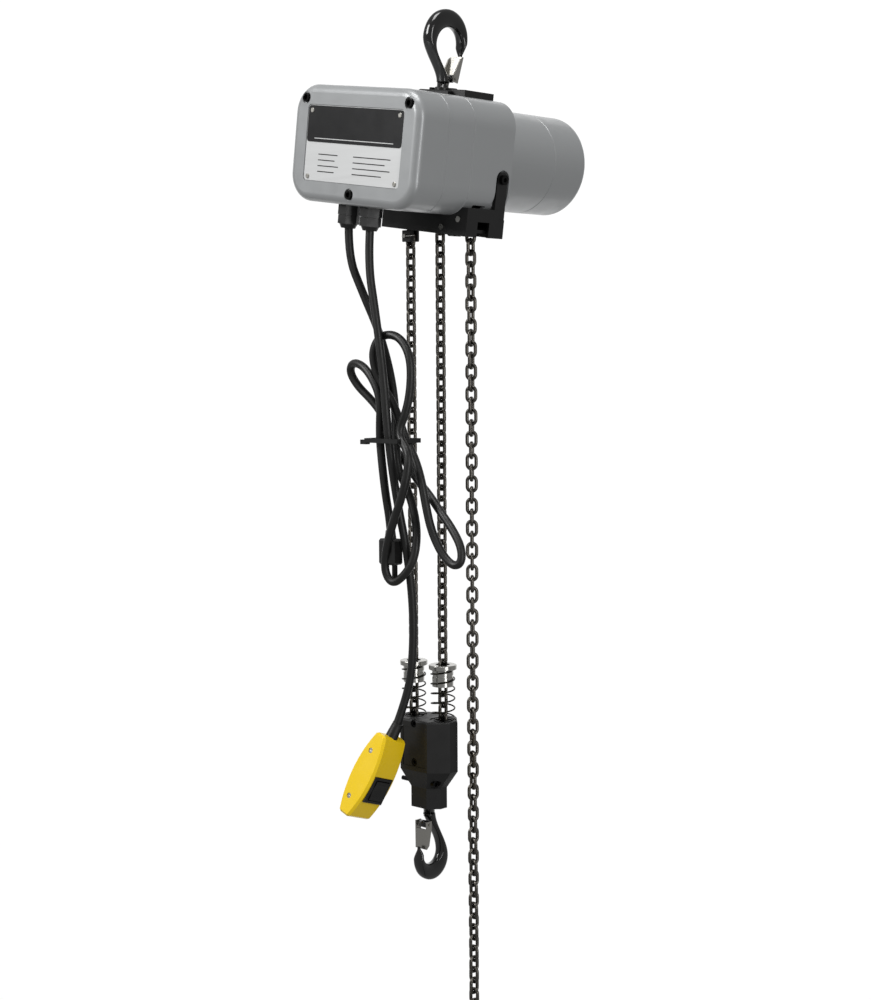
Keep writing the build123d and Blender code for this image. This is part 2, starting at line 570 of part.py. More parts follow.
# ---- hook block -----------------------------------------------------------------------------
def octagon(half_x, half_y, cut):
    """An elongated octagon in plan, its corners cut at 45 degrees."""
    x, y = half_x - cut, half_y - cut
    points = [(-x, -half_y), (x, -half_y), (half_x, -y), (half_x, y),
              (x, half_y), (-x, half_y), (-half_x, y), (-half_x, -y)]
    return make_face(Polyline(*points, close=True))


def block_halves():
    z1, z2 = BLOCK_TOP - BLOCK_WIDE, BLOCK_TOP - BLOCK_WIDE - BLOCK_TAPER
    wide, neck = octagon(38.6, 24.0, 18.0), octagon(22.7, 16.2, 11.0)
    body = extrude(Plane.XY.offset(z1) * wide, BLOCK_WIDE)
    body = fillet(body.edges().group_by(Axis.Z)[-1], 2.5)
    body += loft([Plane.XY.offset(z1) * wide, Plane.XY.offset(z2) * neck])
    body += extrude(Plane.XY.offset(BLOCK_BOTTOM) * neck, BLOCK_NECK)
    body = Pos(IDLER_X, 0, 0) * body
    cavity = rod_y(LINK_REACH + 0.9, -8, 8, IDLER_X, IDLER_Z)
    for x in (DEAD_X, LIVE_X):
        cavity += box(x - 8, x + 8, -8, 8, IDLER_Z, BLOCK_TOP + 1)
    body -= cavity
    body -= rod_y(6.02, -20, 20, IDLER_X, IDLER_Z)
    body -= rod_z(6.5, BLOCK_BOTTOM - 1, IDLER_Z, IDLER_X)
    body -= rod_z(12, BLOCK_BOTTOM + 7, BLOCK_BOTTOM + 26, IDLER_X)
    for x in (DEAD_X, LIVE_X):
        seat = rod_z(15.0, BLOCK_TOP - 0.8, BLOCK_TOP + 1, x) - rod_z(10.5, BLOCK_TOP - 2, BLOCK_TOP + 2, x)
        body -= seat
    body -= rod_y(2.05, -22, 22, IDLER_X, FACE_SCREW_Z[0]) + rod_y(4.3, -25, -19, IDLER_X, FACE_SCREW_Z[0])
    body -= rod_y(2.05, -22, -10, IDLER_X, FACE_SCREW_Z[1]) + rod_y(4.3, -25, -19, IDLER_X, FACE_SCREW_Z[1])
    for x in (IDLER_X - 17, IDLER_X + 17):
        body -= rod_y(2.05, -15, 30, x, CLAMP_Z) + rod_y(4.3, 14, 30, x, CLAMP_Z)
    body -= rod_x(2.55, IDLER_X - 40, IDLER_X + 40, -12, COLLAR_BOLT_Z)
    body -= rod_x(4.6, IDLER_X + 18, IDLER_X + 42, -12, COLLAR_BOLT_Z)
    front = box(-200, 200, -60, 0, BLOCK_BOTTOM - 5, BLOCK_TOP + 5)
    rear = box(-200, 200, 0, 60, BLOCK_BOTTOM - 5, BLOCK_TOP + 5)
    panel = box(IDLER_X - 17, IDLER_X + 17, -25, -23.2, BLOCK_TOP - 52, BLOCK_TOP - 8)
    add("block_front_half", (body & front) - panel)
    add("block_rear_half", body & rear)


FACE_SCREW_Z = (BLOCK_TOP - 4.0, BLOCK_TOP - 47.0)
CLAMP_Z = BLOCK_TOP - 65.7
COLLAR_BOLT_Z = BLOCK_TOP - BLOCK_WIDE - 14.4


def block_fasteners():
    screws = [cap_screw_y(IDLER_X, -22.6, FACE_SCREW_Z[0], 3.9, 3.55, 2.0, 36),
              cap_screw_y(IDLER_X, -22.6, FACE_SCREW_Z[1], 3.9, 3.55, 2.0, 8)]
    for x in (-17, 17):
        screws.append(Pos(IDLER_X, 0, 0) * Rot(0, 0, 180) * cap_screw_y(x, -17.7, CLAMP_Z, 3.9, 3.6, 2.0, 26))
    axle = rod_y(6.0, -19.5, 19.5, IDLER_X, IDLER_Z)
    add("idler_axle", chamfer(axle.edges(), 0.6))
    bolt = rod_x(2.5, IDLER_X - 29, IDLER_X + 18.1, -12, COLLAR_BOLT_Z)
    head = rod_x(4.4, IDLER_X + 18.05, IDLER_X + 22.5, -12, COLLAR_BOLT_Z)
    recess = Plane.YZ.offset(IDLER_X + 20) * Pos(-12, COLLAR_BOLT_Z) * RegularPolygon(2.4, 6)
    add("block_screws", screws + [bolt + head - extrude(recess, 4)])


COLLAR_TOP = -685.6


def collar(x):
    """The turned striker ring that rides on a fall above the block."""
    body = rod_z(15.4, COLLAR_TOP - 5.4, COLLAR_TOP, x)
    body = fillet(body.edges(), 1.0)
    body += rod_z(11.7, COLLAR_TOP - 24, COLLAR_TOP - 5, x)
    body -= rod_z(11.9, COLLAR_TOP - 13.6, COLLAR_TOP - 11.4, x) - rod_z(10.9, -760, -600, x)
    return body - rod_z(7.9, -760, -600, x)


SPRING_R, SPRING_WIRE, SPRING_TURNS = 12.9, 0.85, 5


def spring(x):
    """A compression spring from under the collar's flange to its seat on the block."""
    low, high = BLOCK_TOP + 0.25, COLLAR_TOP - 5.6 - SPRING_WIRE
    path = Pos(x, 0, low + SPRING_WIRE) * Helix((high - low - SPRING_WIRE) / SPRING_TURNS,
                                               high - low - SPRING_WIRE, SPRING_R)
    start = Plane(origin=path @ 0, z_dir=path % 0)
    return sweep(start * Circle(SPRING_WIRE), path=path, is_frenet=True)


def collars():
    add("collar_dead_fall", collar(DEAD_X))
    add("collar_live_fall", collar(LIVE_X))
    add("spring_dead_fall", spring(DEAD_X))
    add("spring_live_fall", spring(LIVE_X))


# ---- pendant --------------------------------------------------------------------------------
PENDANT_AT = (-56.0, -68.0, -805.0)
PENDANT_TILT, PENDANT_DIR = 26.0, 44.0      # leans in the vertical plane across this azimuth
HALF_LEN, HALF_WIDE = 48.5, 18.5


def pendant_place():
    a = radians(PENDANT_DIR)
    tilt = Pos(*PENDANT_AT) * Rot(0, 0, PENDANT_DIR) * Rot(0, PENDANT_TILT, 0) * Rot(0, 0, -PENDANT_DIR)
    return tilt


def pendant_outline(inset=0.0):
    """The barrel-shaped side of the pendant, in its X and Z: front toward +x, top up."""
    h, end, mid = HALF_LEN - inset, 7.5 - inset, 16.5 - inset
    front = ThreePointArc((end, h), (mid, -4), (end + 0.5, -h))
    back = ThreePointArc((-end - 0.5, -h), (-mid, -4), (-end, h))
    return make_face(Wire([front, Line((end + 0.5, -h), (-end - 0.5, -h)), back,
                           Line((-end, h), (end, h))]))


SWITCH_Z = -10.0
SWITCH_FACE = 17.6
PENDANT_SCREWS = [(-3.0, 27.0), (-3.0, -28.0)]


def pendant():
    place = pendant_place()
    outer = prism_y(pendant_outline(), -HALF_WIDE, HALF_WIDE)
    outer = chamfer(outer.edges(), 2.4)
    outer -= prism_y(pendant_outline(2.6), -HALF_WIDE + 2.6, HALF_WIDE - 2.6)
    for x, z in PENDANT_SCREWS:
        outer += rod_y(4.0, -HALF_WIDE + 2, HALF_WIDE - 2, x, z)
        outer -= rod_y(1.6, -HALF_WIDE - 1, HALF_WIDE - 6, x, z)
        outer -= rod_y(3.0, -HALF_WIDE - 1, -HALF_WIDE + 2.35, x, z)
    outer -= box(8, 30, -13.2, 13.2, SWITCH_Z - 14.2, SWITCH_Z + 14.2)
    outer -= box(SWITCH_FACE - 3.3, 40, -14.5, 14.5, SWITCH_Z - 15.6, SWITCH_Z + 15.6)
    outer -= rod_z(7.05, HALF_LEN - 7, HALF_LEN + 1)
    front = box(-40, 40, -40, 0, -80, 80)
    rear = box(-40, 40, 0, 40, -80, 80)
    add("pendant_left_shell", place * (outer & front))
    add("pendant_right_shell", place * (outer & rear))
    screws = []
    for x, z in PENDANT_SCREWS:
        screw = rod_y(1.5, -HALF_WIDE + 2.2, HALF_WIDE - 7, x, z)
        head = rod_y(2.8, -HALF_WIDE + 0.6, -HALF_WIDE + 2.3, x, z)
        head -= box(x - 3, x + 3, -HALF_WIDE, -HALF_WIDE + 1.3, z - 0.4, z + 0.4)
        screws.append(place * (screw + head))
    add("pendant_screws", screws)
    face = SWITCH_FACE
    frame = box(face - 3.2, face, -14.4, 14.4, SWITCH_Z - 15.5, SWITCH_Z + 15.5)
    frame = fillet(frame.edges().group_by(Axis.X)[-1], 1.2)
    frame += box(face - 12, face - 3, -13, 13, SWITCH_Z - 14, SWITCH_Z + 14)
    well = box(face - 10, face + 1, -10.6, 10.6, SWITCH_Z - 12.2, SWITCH_Z + 12.2)
    frame = frame - well + rod_y(1.5, -10.7, 10.7, face - 5.5, SWITCH_Z)
    add("switch_frame", place * frame)
    rocker = box(face - 6.5, face + 1.0, -10.2, 10.2, SWITCH_Z - 11.2, SWITCH_Z + 11.2)
    dish = rod_y(30, -12, 12, face + 30.2, SWITCH_Z)
    rocker = rocker - dish - rod_y(1.56, -12, 12, face - 5.5, SWITCH_Z)
    rocker -= box(face - 8, face - 5.5, -12, 12, SWITCH_Z - 1.56, SWITCH_Z + 1.56)
    add("rocker_switch", place * rocker)
    relief = Pos(0, 0, HALF_LEN + 6.5) * Cone(7.0, 6.0, 14.0)
    relief += rod_z(5.9, HALF_LEN + 13, HALF_LEN + 16.5) + rod_z(6.9, HALF_LEN - 5, HALF_LEN + 0.5)
    relief -= rod_z(4.6, HALF_LEN - 8, HALF_LEN + 20)
    add("strain_relief", place * relief)
    return place


# ---- cords ----------------------------------------------------------------------------------
CORD_R = 4.5
PENDANT_CORD = [(-38.3, -80, -201.6), (-44, -80, -245), (-33, -79, -305), (-24, -77, -370),
                (-21, -74, -437), (-17, -66, -500), (-14, -53, -560), (-13, -46, -620),
                (-18, -42.5, -675), (-27.5, -41.5, -717), (-38.6, -51.1, -755.2)]
POWER_CORD = [(-71.6, -80, -196.9), (-76, -79, -238), (-61, -71, -280), (-46, -61, -322),
              (-36, -55, -365)]


def route_radii(route):
    """An arc at each corner, as large as the shorter of its two runs allows."""
    radii = []
    for a, b, c in zip(route, route[1:], route[2:]):
        before, after = Vector(*b) - Vector(*a), Vector(*c) - Vector(*b)
        half_turn = radians(before.get_angle(after)) / 2
        radii.append(0.45 * min(before.length, after.length) / tan(half_turn))
    return radii


def cord(name, route):
    radii = route_radii(route)
    path = FilletPolyline(*route, radius=radii)
    start = Plane(origin=path @ 0, z_dir=path % 0)
    tube = sweep(start * Circle(CORD_R), path=path)
    want = pi * CORD_R ** 2 * path.length
    print(name, "length", round(path.length, 1), "smallest radius", round(min(radii), 1),
          "volume ratio", round(tube.volume / want, 4), "radii", [round(r) for r in radii])
    add(name, tube)


TIE_Z = -437.0
HANK_Y = (-72.0, -49.0)


def hank():
    """The outer shape of the tied hank of spare power cord: two lobes above, two below."""
    outline = [(-47, TIE_Z), (-62, -400), (-99, -368), (-104, -347), (-90, -338), (-74, -350),
               (-68, -322), (-40, -309), (-8, -323), (5, -352), (1, -400), (-3, TIE_Z),
               (9, -480), (42, -508), (80, -552), (80, -574), (62, -583), (36, -566), (17, -540),
               (13, -575), (-8, -597), (-30, -603), (-50, -590), (-54, -562), (-46, -500)]
    pad = prism_y(make_face(Polyline(*outline, close=True)), *HANK_Y)
    pad -= box(-47, -12, HANK_Y[0] - 1, HANK_Y[1] + 1, -593, -534)
    add("power_cord_hank", pad)
    band = box(-50, 0, -81.5, -46, TIE_Z - 2.4, TIE_Z + 2.4)
    band -= box(-48.4, -1.6, -79.9, -47.6, TIE_Z - 4, TIE_Z + 4)
    band += box(-58, -49, -80, -74, TIE_Z - 4.4, TIE_Z + 0.6)
    add("cord_tie", band)


def plug():
    x, y, top = -32.5, -60.5, -534.0
    body = box(x - 12, x + 12, y - 8, y + 8, top - 37, top - 9)
    body = chamfer(body.edges(), 2.2)
    body += Pos(x, y, top - 5) * Cone(6.5, 5.2, 10)
    blades = []
    for dx in (-6.3, 6.3):
        blades.append(box(x + dx - 0.8, x + dx + 0.8, y - 3.2, y + 3.2, top - 54, top - 37.05))
    blades.append(rod_z(2.4, top - 57, top - 37.05, x, y + 5.0))
    add("plug", [body] + blades)


# ---- build ----------------------------------------------------------------------------------
def electrics():
    """The control board with its relay and transformer, inside the left of the case."""
    board = box(-83, -30, 58, 60, -38, 37)
    relay = box(-80, -56, 60.1, 78, 4, 32)
    choke = box(-50, -34, 60.1, 76, 6, 30)
    add("control_board", [hung(board), hung(relay), hung(choke)])


def build():
    cover_screws = front_cover()
    nameplate()
    middle_housing()
    rear_housing()
    plate_screws = suspension()
    motor_shells()
    motor_inside()
    gear_train()
    bearings()
    electrics()
    bracket_screw = bracket()
    add("case_screws", cover_screws + plate_screws + [bracket_screw])
    top_hook_parts()
    chains()
    chain_guide()
    limit_lever()
    chain_anchor()
    glands()
    block_halves()
    block_fasteners()
    low_hook_parts()
    collars()
    pendant()
    cord("pendant_cord", PENDANT_CORD)
    cord("power_cord", POWER_CORD)
    hank()
    plug()


build()
os.makedirs("parts", exist_ok=True)
for name, shape in PARTS.items():
    export_step(shape, f"parts/{name}.step")
print(len(PARTS), "nodes")
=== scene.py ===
import bmesh
import bpy
import math
import numpy as np
from mathutils import Matrix, Vector


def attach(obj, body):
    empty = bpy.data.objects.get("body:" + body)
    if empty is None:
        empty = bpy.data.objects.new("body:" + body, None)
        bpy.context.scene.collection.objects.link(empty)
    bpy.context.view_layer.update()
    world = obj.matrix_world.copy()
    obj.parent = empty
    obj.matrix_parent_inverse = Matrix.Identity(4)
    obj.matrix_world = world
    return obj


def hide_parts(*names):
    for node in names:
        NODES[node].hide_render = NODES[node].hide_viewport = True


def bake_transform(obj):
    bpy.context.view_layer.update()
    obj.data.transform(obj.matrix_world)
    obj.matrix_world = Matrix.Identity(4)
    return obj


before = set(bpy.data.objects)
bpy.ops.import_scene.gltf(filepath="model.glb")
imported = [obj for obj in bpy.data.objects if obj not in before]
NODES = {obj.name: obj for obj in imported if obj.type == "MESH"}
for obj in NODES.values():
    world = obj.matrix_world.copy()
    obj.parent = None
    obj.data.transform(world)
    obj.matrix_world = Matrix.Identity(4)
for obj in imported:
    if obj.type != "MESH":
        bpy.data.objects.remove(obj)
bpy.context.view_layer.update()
MM = 0.001

# places and sizes in millimetres, as in the frame
LEAN = math.radians(8.1)         # the case and the top hook lean to the right by this
TURN = math.radians(44.0)        # the camera stands this far round to the right
TOP_BOWL = 19.0                  # radius of the top hook's bowl, whose crown is the origin
BLOCK_X = -36.285                # middle of the hook block
LOW_BOWL_Z = -899.3              # middle of the bottom hook's bowl
DEAD_X, LIVE_X, SLACK_X = -58.677, -13.892, 30.892
LOAD_SHEAVE_Z, IDLER_Z = -136.6, -784.6
LINK_PITCH, LINK_WIDTH, WIRE = 12.0, 13.7, 4.0
WIRE_SKIN = 1.9                  # radius of the drawn wire, a little under half of WIRE
CORD_RADIUS = 4.5


# ---- materials ------------------------------------------------------------------------------
MOTTLE_MM = 14
COAT_ROUGH = 0.12


def linear(code):
    """An sRGB hex colour as linear RGBA."""
    out = []
    for i in (1, 3, 5):
        c = int(code[i:i + 2], 16) / 255
        out.append(c / 12.92 if c <= 0.04045 else ((c + 0.055) / 1.055) ** 2.4)
    return (*out, 1.0)


def node(tree, kind, inputs=(), **settings):
    """Adds a shader node, sets its settings and its inputs by name or index."""
    made = tree.nodes.new(kind)
    for key, value in settings.items():
        setattr(made, key, value)
    for key, value in dict(inputs).items():
        if hasattr(value, "is_output"):
            tree.links.new(value, made.inputs[key])
        else:
            made.inputs[key].default_value = value
    return made


def material(name, colour, rough, metal=0.0, bump=0.0, grain_mm=0.6, mottle=0.0, coat=0.0,
             stretch=(1, 1, 1)):
    """A surface with fine grain. grain_mm is the grain's size, bump its height in millimetres and
    mottle the share by which its roughness drifts in patches of MOTTLE_MM."""
    mat = bpy.data.materials.new(name)
    mat.use_nodes = True
    tree = mat.node_tree
    shader = tree.nodes["Principled BSDF"]
    shader.inputs["Base Color"].default_value = linear(colour)
    shader.inputs["Roughness"].default_value = rough
    shader.inputs["Metallic"].default_value = metal
    shader.inputs["Coat Weight"].default_value = coat
    shader.inputs["Coat Roughness"].default_value = COAT_ROUGH
    place = node(tree, "ShaderNodeTexCoord").outputs["Object"]
    place = node(tree, "ShaderNodeMapping", {"Vector": place, "Scale": stretch}).outputs[0]
    if bump:
        noise = node(tree, "ShaderNodeTexNoise",
                     {"Vector": place, "Scale": 1000 / grain_mm, "Detail": 3.0})
        lift = node(tree, "ShaderNodeBump",
                    {"Height": noise.outputs["Fac"], "Strength": 0.6, "Distance": bump * MM})
        tree.links.new(lift.outputs["Normal"], shader.inputs["Normal"])
    if mottle:
        drift = node(tree, "ShaderNodeTexNoise", {"Vector": place, "Scale": 1000 / MOTTLE_MM, "Detail": 4.0})
        tone = node(tree, "ShaderNodeMapRange",
                    {0: drift.outputs["Fac"], 1: 0.3, 2: 0.7, 3: rough * (1 - mottle),
                     4: min(1.0, rough * (1 + mottle))})
        tree.links.new(tone.outputs[0], shader.inputs["Roughness"])
    return mat


# hammered enamel on cast aluminium: a soft sheen broken by a fine dimpled skin
GREY_PAINT = material("grey hammered paint", "#9b9d9e", 0.38, 0.25, 0.05, 0.9, 0.15, 0.25)
# sprayed black enamel on pressed steel: a dull, broad highlight
BLACK_PAINT = material("black satin paint", "#0c0c0c", 0.38, 0.0, 0.03, 0.8, 0.2)
# dipped black enamel on a forging: sharp highlights over slow waves
BLACK_GLOSS = material("black gloss enamel", "#070707", 0.16, 0.0, 0.02, 2.5, 0.2, 0.6)
# powder coat on a casting: matt, with a fine orange peel
BLACK_CAST = material("black powder coat", "#0b0b0b", 0.50, 0.0, 0.06, 0.7, 0.15)
# hardened chain steel: dark, with bright rims where light grazes it
CHAIN_STEEL = material("dark chain steel", "#5d5a55", 0.30, 1.0, 0.02, 0.8, 0.25)
# turned steel: bright, with tool lines round it
TURNED = material("turned bright steel", "#b9b8b4", 0.24, 1.0, 0.015, 0.5, 0.2, stretch=(0.2, 0.2, 3))
# plated sheet: bright and slightly uneven
PRESSED = material("zinc-plated pressed steel", "#b5b3ad", 0.30, 1.0, 0.01, 0.5, 0.2)
SPRING_STEEL = material("black spring steel", "#26251f", 0.30, 0.9, 0.01, 0.6, 0.2)
SCREW_BLACK = material("black oxide steel", "#161616", 0.30, 0.8, 0.01, 0.5, 0.2)
# moulded black nylon and drawn rubber: nearly black, with a soft wide sheen
NYLON = material("black nylon", "#0d0d0d", 0.42, 0.0, 0.02, 0.6, 0.15)
RUBBER = material("black rubber cable", "#0e0e0d", 0.46, 0.0, 0.02, 0.7, 0.2)
# moulded ABS: strong colour, faintly grained
YELLOW = material("yellow moulded plastic", "#f2cc08", 0.34, 0.0, 0.015, 1.2, 0.2, 0.15)
# printed and brushed aluminium of the nameplate
PLATE_DARK = material("black anodised aluminium", "#1b1b1c", 0.35, 0.4, 0.0, 0.6, 0.1)
PLATE_LIGHT = material("satin aluminium", "#d2d3d3", 0.36, 0.25, 0.004, 0.3, 0.1, stretch=(0.1, 1, 4))
# inside the case and the block
STEEL = material("machined steel", "#8b8a88", 0.32, 1.0, 0.01, 0.6, 0.2)
BOARD = material("green circuit board", "#1d4a2c", 0.45)


def paint(obj, mat):
    obj.data.materials.clear()
    obj.data.materials.append(mat)


FINISHES = {
    GREY_PAINT: "front_cover gear_housing rear_housing motor_shell motor_end_cap",
    BLACK_PAINT: "suspension_plate bottom_bracket chain_anchor limit_lever",
    BLACK_GLOSS: "top_hook bottom_hook",
    BLACK_CAST: "block_front_half block_rear_half",
    CHAIN_STEEL: "chain_live_fall chain_dead_fall chain_slack_fall chain_on_load_sheave "
                 "chain_on_idler_sheave",
    TURNED: "collar_dead_fall collar_live_fall limit_pins anchor_pins",
    PRESSED: "bottom_latch top_latch bottom_latch_pin top_latch_pin pendant_screws nameplate_rivets",
    SPRING_STEEL: "spring_dead_fall spring_live_fall",
    SCREW_BLACK: "case_screws block_screws",
    NYLON: "cord_glands cord_tie switch_frame rocker_switch",
    RUBBER: "pendant_cord power_cord power_cord_hank plug strain_relief chain_end_stop",
    YELLOW: "pendant_left_shell pendant_right_shell",
    PLATE_LIGHT: "nameplate",
    STEEL: "motor_shaft rotor stator layshaft layshaft_gear output_gear sheave_shaft load_sheave "
           "idler_sheave idler_axle top_hook_nut bottom_hook_nut shaft_bearings chain_guide",
    BOARD: "control_board",
}
for finish, names in FINISHES.items():
    for name in names.split():
        paint(NODES[name], finish)


# ---- helpers --------------------------------------------------------------------------------
def mesh(name, verts, faces, mat, smooth=True):
    """A new object of these vertices, in metres, and faces."""
    data = bpy.data.meshes.new(name)
    data.from_pydata(np.asarray(verts, float).tolist(), [], [list(map(int, f)) for f in faces])
    data.validate()
    obj = bpy.data.objects.new(name, data)
    bpy.context.collection.objects.link(obj)
    data.materials.append(mat)
    if smooth:
        data.polygons.foreach_set("use_smooth", [True] * len(data.polygons))
    return obj


def grid_faces(rows, around, closed):
    """Quads of a grid of points, joined round each row and from row to row, to the first if closed."""
    i = np.arange(rows if closed else rows - 1)[:, None]
    k = np.arange(around)[None, :]
    j, n = (i + 1) % rows, (k + 1) % around
    return np.stack((i * around + k, i * around + n, j * around + n, j * around + k), -1).reshape(-1, 4)


def tube(name, points, radius, mat):
    """A round cord along an open quadratic spline through points in millimetres."""
    data = bpy.data.curves.new(name, "CURVE")
    data.dimensions = "3D"
    line = data.splines.new("NURBS")
    line.points.add(len(points) - 1)
    for p, xyz in zip(line.points, points):
        p.co = (*(v * MM for v in xyz), 1.0)
    line.order_u = 3
    line.use_endpoint_u = True
    line.resolution_u = 8
    data.bevel_depth = radius * MM
    data.bevel_resolution = 5
    data.use_fill_caps = True
    data.materials.append(mat)
    obj = bpy.data.objects.new(name, data)
    bpy.context.collection.objects.link(obj)
    return obj


# ---- hooks ----------------------------------------------------------------------------------
def hermite(a, b, ta, tb, t):
    """The cubic from a to b that leaves along ta and arrives along tb, at each t from 0 to 1."""
    a, b, ta, tb = map(np.array, (a, b, ta, tb))
    t = t[:, None]
    return ((2 * t ** 3 - 3 * t ** 2 + 1) * a + (t ** 3 - 2 * t ** 2 + t) * ta
            + (3 * t ** 2 - 2 * t ** 3) * b + (t ** 3 - t ** 2) * tb)


def loft(centres, across, half_w, half_t, power=2.5, sides=40):
    """A closed skin along centres in the hook's plane. Each ring is a superellipse, whose width
    lies along across and whose thickness stands out of the plane."""
    angle = np.linspace(0, 2 * math.pi, sides, endpoint=False)
    c, q = np.cos(angle), np.sin(angle)
    c = np.sign(c) * np.abs(c) ** (2 / power)
    q = np.sign(q) * np.abs(q) ** (2 / power)
    n = len(centres)
    wide, deep = np.asarray(half_w, float)[:, None], np.asarray(half_t, float)[:, None]
    rings = np.empty((n, sides, 3))
    rings[..., 0] = centres[:, :1] + across[:, :1] * wide * c
    rings[..., 1] = deep * q
    rings[..., 2] = centres[:, 1:] + across[:, 1:] * wide * c
    ends = np.insert(centres[[0, -1]], 1, 0.0, axis=1)
    k = np.arange(sides)
    j = (k + 1) % sides
    first = np.stack((np.full(sides, n * sides), j, k), 1)
    last = np.stack((np.full(sides, n * sides + 1), (n - 1) * sides + k, (n - 1) * sides + j), 1)
    faces = grid_faces(n, sides, closed=False).tolist() + first.tolist() + last.tolist()
    return np.concatenate((rings.reshape(-1, 3), ends)), faces


EAR_RADIUS, EAR_SIDES = 4.1, 28
STEM_RISE = 32.0
ROUNDED_STEPS = 14               # rings over which the round shank eases into the hook's section
NOSE_STEPS = 24                  # rings over which the hook thins to its nose


def hook_lines(bowl, back, tip, crown, top, neck):
    """The hook's inner and outer lines in its plane, from the neck round the bowl to the nose: a
    cubic down the back, a circle's lower half and a cubic up to the nose."""
    outer = bowl + (back + tip) / 2
    cx, cy = outer - bowl - back, outer - bowl - crown
    t = np.linspace(0, 1, 26)
    arc = np.linspace(math.pi, 2 * math.pi, 44)[1:]
    nose = np.array((bowl + 0.42 * tip, bowl * 0.62))
    inner = [hermite((neck, top), (-bowl, 0), (-0.4 * top, -0.9 * top), (0, -1.1 * top), t),
             np.stack((bowl * np.cos(arc), bowl * np.sin(arc)), 1),
             hermite((bowl, 0), nose, (0, bowl * 0.6), (0.2 * tip, 1.0), t[1:])]
    outside = [hermite((-neck, top), (cx - outer, cy), (0, -1.1 * top), (0, -1.1 * top), t),
               np.stack((cx + outer * np.cos(arc), cy + outer * np.sin(arc)), 1),
               hermite((cx + outer, cy), nose, (0, bowl * 0.8), (-0.3 * tip, 0.5), t[1:])]
    return np.concatenate(inner), np.concatenate(outside)


def hook_body(inner, outside, thick, shank):
    """The forging between its two lines: round at the neck, then rounded-square, thin at the nose."""
    middle, gap = (inner + outside) / 2, inner - outside
    wide = np.linalg.norm(gap, axis=1) / 2
    across = gap / np.maximum(2 * wide, 0.01)[:, None]
    deep = np.full(len(wide), thick / 2 - 0.2)
    ease = np.clip(np.arange(len(wide)) / ROUNDED_STEPS, 0, 1)
    deep = deep * ease + (shank + 0.2) * (1 - ease)
    deep[-NOSE_STEPS:] *= np.clip(wide[-NOSE_STEPS:] / wide[-NOSE_STEPS], 0.35, 1.0)
    return loft(middle, across, np.maximum(wide, 0.6), deep)


def hook_stem(top, shank):
    """The round stem above the neck, with a small chamfer at its top."""
    line = np.array([(0, top - 3), (0, top + STEM_RISE - 0.5), (0, top + STEM_RISE)])
    radii = [shank, shank, shank - 0.5]
    return loft(line, np.array([(1, 0)] * 3), radii, radii, power=2.0)


def hook_ear(lug, thick):
    """The short cylinder beside the neck that the latch's pin goes through."""
    n = EAR_SIDES
    angle = np.linspace(0, 2 * math.pi, n, endpoint=False)
    circle = np.stack((lug[0] + EAR_RADIUS * np.cos(angle), 0 * angle, lug[1] + EAR_RADIUS * np.sin(angle)), 1)
    half = np.array((0, thick * 0.3, 0))
    sides = [(k, k + n, (k + 1) % n + n, (k + 1) % n) for k in range(n)]
    return np.concatenate((circle - half, circle + half)), sides + [range(n), range(2 * n - 1, n - 1, -1)]


def forged_hook(name, bowl, back, tip, crown, height, neck, thick, shank, lug, place):
    """A forged hook with its stem and the latch's ear, put in the frame by place."""
    top = height - bowl - crown
    inner, outside = hook_lines(bowl, back, tip, crown, top, neck)
    verts, faces, base = [], [], 0
    for points, quads in (hook_body(inner, outside, thick, shank), hook_stem(top, shank), hook_ear(lug, thick)):
        verts.append(place(points))
        faces += [[base + i for i in face] for face in quads]
        base += len(points)
    obj = mesh(name, np.concatenate(verts), faces, BLACK_GLOSS)
    work = bmesh.new()
    work.from_mesh(obj.data)
    bmesh.ops.recalc_face_normals(work, faces=work.faces)
    work.to_mesh(obj.data)
    work.free()
    return obj


def at_top(points):
    """From the top hook's own plane, upside down and leaning with the case, to the frame."""
    x, y, z = points.T
    z = -TOP_BOWL - z
    return MM * np.stack((y * math.cos(LEAN) + z * math.sin(LEAN), x,
                          -y * math.sin(LEAN) + z * math.cos(LEAN)), 1)


def at_bottom(points):
    """From the bottom hook's own plane to the frame."""
    x, y, z = points.T
    return MM * np.stack((BLOCK_X + y, -x, LOW_BOWL_Z + z), 1)


top_hook = forged_hook("top_hook_forging", bowl=TOP_BOWL, back=14.0, tip=7.5, crown=19.0, height=76.0,
                       neck=6.6, thick=15.0, shank=6.5, lug=(9.0, 33.0), place=at_top)
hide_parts("top_hook")
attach(top_hook, "hook")
low_hook = forged_hook("bottom_hook_forging", bowl=13.5, back=12.5, tip=7.0, crown=19.0, height=76.0,
                       neck=6.4, thick=14.0, shank=6.4, lug=(8.6, 33.0), place=at_bottom)
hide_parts("bottom_hook")
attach(low_hook, "bottom_hook")


# ---- chain falls and springs ----------------------------------------------------------------
def link_skin(steps=36, around=14):
    """One link standing along Z, in millimetres: a round wire carried along two straights and two
    half circles, as its vertices and its faces."""
    r = (LINK_WIDTH - WIRE) / 2
    h = (LINK_PITCH + WIRE) / 2 - r
    bend = math.pi * r
    d = ((4 * h + 2 * bend) * np.arange(steps) / steps)[:, None]
    a = np.clip((d - 2 * h) / r, 0, math.pi) + np.clip((d - 4 * h - bend) / r, 0, math.pi)
    z = np.clip(d - h, -h, h) - np.clip(d - 2 * h - bend, 0, 2 * h)
    b = 2 * math.pi * np.arange(around) / around
    out = r + WIRE_SKIN * np.cos(b)
    verts = np.stack((out * np.cos(a), 0 * a + WIRE_SKIN * np.sin(b), z + out * np.sin(a)), -1)
    return verts.reshape(-1, 3), grid_faces(steps, around, closed=True)


